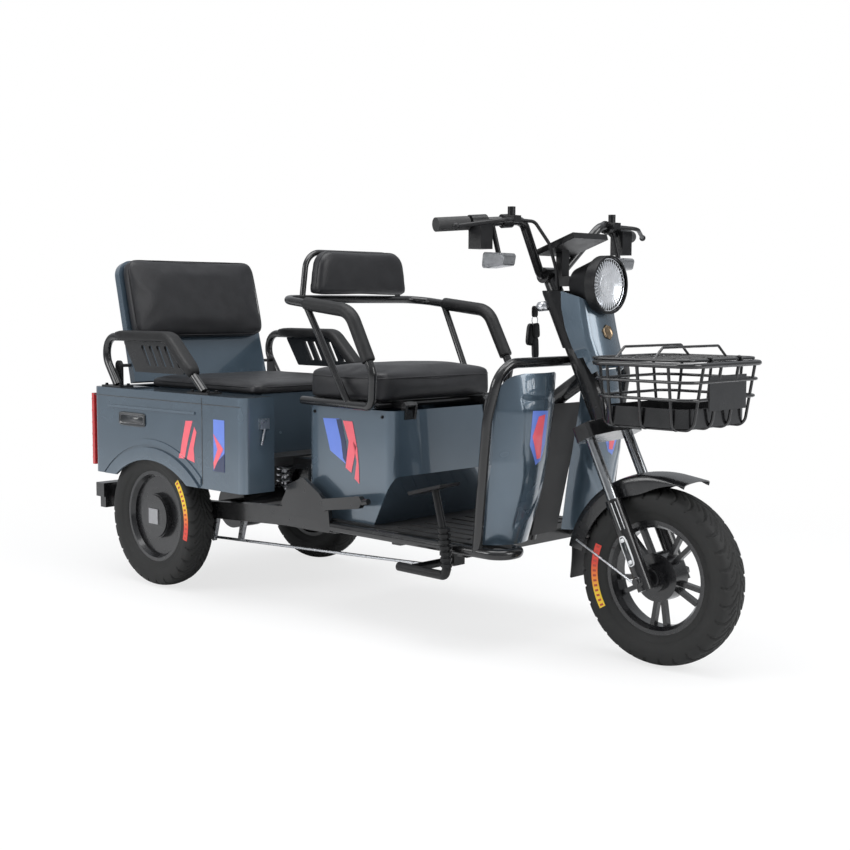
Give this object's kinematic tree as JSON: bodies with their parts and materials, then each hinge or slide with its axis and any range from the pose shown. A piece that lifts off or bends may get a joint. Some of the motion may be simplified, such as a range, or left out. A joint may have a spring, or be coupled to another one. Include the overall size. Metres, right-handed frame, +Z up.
{
  "type": "electric tricycle",
  "caption": "Three-wheeled electric passenger scooter with a driver's seat with armrests, a rear bench with a folding backrest, leg shields and a wire front basket with a lid.",
  "frame": {"origin": "on the ground, under the middle of the vehicle's length and width", "axes": "+X forward, +Y to the vehicle's left, +Z up"},
  "size_m": [2.0542, 0.753, 1.0476],
  "materials": {
    "paint_blue": "glossy blue-grey paint",
    "black_tube": "satin black paint",
    "black_plastic": "matt",
    "deck_black": "matt black",
    "seat_black": "black synthetic leather",
    "pad_black": "moulded soft foam",
    "tyre": "matt rubber",
    "rim_black": "gloss black",
    "steel": "bright",
    "lens_clear": "clear",
    "lens_red": "red",
    "battery": "matt",
    "grip": "ribbed rubber"
  },
  "bodies": {
    "chassis": {"frame": "black_tube", "leg_guard": "black_tube", "footboard": "deck_black", "leg_shields": "paint_blue", "leg_shield_center": "black_plastic", "seat_box": "paint_blue", "battery_pack": "battery", "side_panel_right": "paint_blue", "side_panel_left": "paint_blue", "cargo_floor": "deck_black", "rear_panel": "paint_blue", "tail_lamps": "lens_red", "rear_seat_base": "paint_blue", "rear_seat_cushion": "seat_black", "rear_armrests": "black_tube", "rear_arm_pads": "pad_black", "rear_axle": "black_tube", "rear_shocks": "steel", "brake_pedal": "black_plastic", "parking_brake": "black_tube", "brake_linkage": "steel", "side_latches": "steel"},
    "steering": {"fork": "black_tube", "front_fender": "black_plastic", "fender_stay": "steel", "head_cowl": "paint_blue", "lock_cover": "black_plastic", "key_set": "black_plastic", "handlebar": "black_tube", "grips": "grip", "hand_controls": "black_plastic", "display": "black_plastic", "headlamp": "black_plastic", "headlamp_lens": "lens_clear", "turn_signals": "lens_clear", "handlebar_cables": "black_plastic", "basket": "black_tube"},
    "basket_lid": {"basket_lid": "black_tube"},
    "front_wheel": {"front_tyre": "tyre", "front_rim": "rim_black"},
    "rear_wheel_right": {"rear_tyre_right": "tyre", "rear_wheel_right": "rim_black"},
    "rear_wheel_left": {"rear_tyre_left": "tyre", "rear_wheel_left": "rim_black"},
    "driver_seat": {"driver_seat_frame": "black_tube", "driver_seat_cushion": "seat_black", "driver_arm_pads": "pad_black", "headrest_cushion": "seat_black"},
    "rear_backrest": {"backrest_shell": "paint_blue", "back_cushion": "seat_black"}
  },
  "joints": [
    {"name": "steering", "type": "hinge", "parent": "chassis", "child": "steering", "pos_m": [0.82209, 0, 0.205], "axis": [-0.4399, 0, 0.898], "range_deg": [-35, 35]},
    {"name": "front_wheel_spin", "type": "hinge", "parent": "steering", "child": "front_wheel", "pos_m": [0.82209, 0, 0.205], "axis": [0, 1, 0], "continuous": true},
    {"name": "rear_right_spin", "type": "hinge", "parent": "chassis", "child": "rear_wheel_right", "pos_m": [-0.71191, -0.3, 0.205], "axis": [0, 1, 0], "continuous": true},
    {"name": "rear_left_spin", "type": "hinge", "parent": "chassis", "child": "rear_wheel_left", "pos_m": [-0.71191, 0.3, 0.205], "axis": [0, 1, 0], "continuous": true},
    {"name": "driver_seat_tip", "type": "hinge", "parent": "chassis", "child": "driver_seat", "pos_m": [0.15609, 0, 0.569], "axis": [0, 1, 0], "range_deg": [0, 50]},
    {"name": "backrest_fold", "type": "hinge", "parent": "chassis", "child": "rear_backrest", "pos_m": [-0.93356, 0, 0.63433], "axis": [0, 1, 0], "range_deg": [0, 70]},
    {"name": "basket_lid_open", "type": "hinge", "parent": "steering", "child": "basket_lid", "pos_m": [0.97409, 0, 0.707], "axis": [0, 1, 0], "range_deg": [0, 95]}
  ]
}
